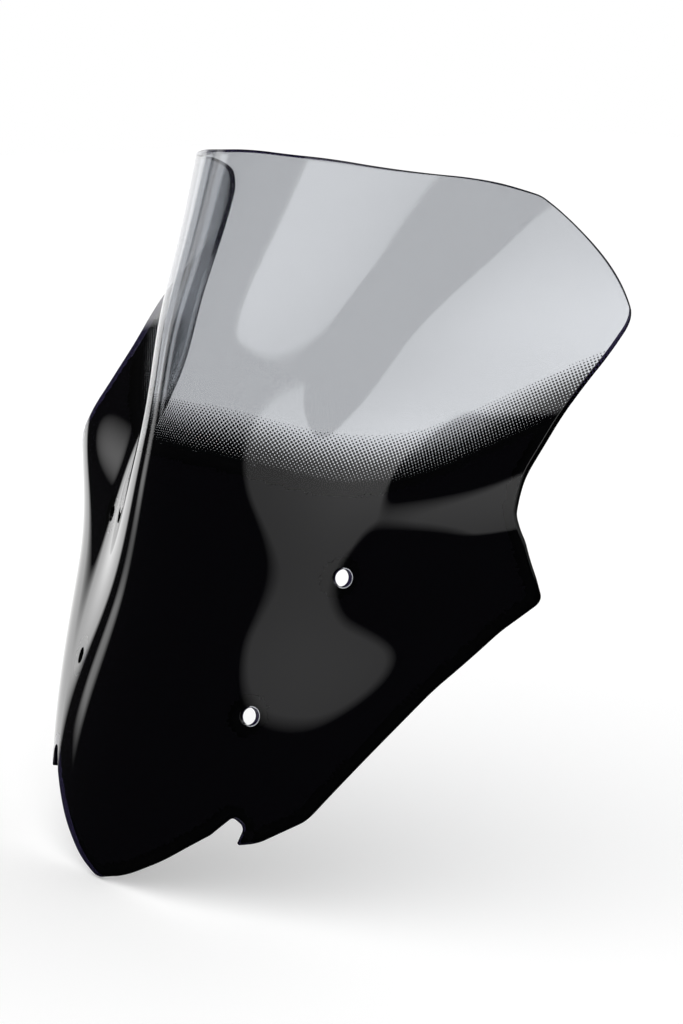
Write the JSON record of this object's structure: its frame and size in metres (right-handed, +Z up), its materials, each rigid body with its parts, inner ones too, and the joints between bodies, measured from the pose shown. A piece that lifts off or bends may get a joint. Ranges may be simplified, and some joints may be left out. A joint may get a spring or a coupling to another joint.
{
  "type": "motorcycle windshield screen",
  "caption": "Tall touring windshield screen in clear smoke acrylic, with a black lower part, a dotted fade band, flared wings, side ears, round mounting holes and a hooked notch at each side.",
  "frame": {"origin": "middle of the whole screen's box in X and Y, at the level of its lowest point, the bottom tip", "axes": "+X across the screen from the rider's right to the rider's left, -Y towards the front of the motorcycle, +Z up; the screen stands at the rake it has on the motorcycle"},
  "size_m": [0.4322, 0.223, 0.4033],
  "materials": {
    "smoke_acrylic": "light smoke-grey clear acrylic, polished faces, smooth trimmed edges",
    "black_print_ink": "opaque black screen-print ink on the inner face, glossy when seen through the acrylic, satin from behind",
    "halftone_ink": "the same black ink printed as a dot pattern that thins out upwards, satin"
  },
  "bodies": {
    "root": {"screen_sheet": "smoke_acrylic", "black_print": "black_print_ink", "fade_print": "halftone_ink"}
  },
  "joints": []
}
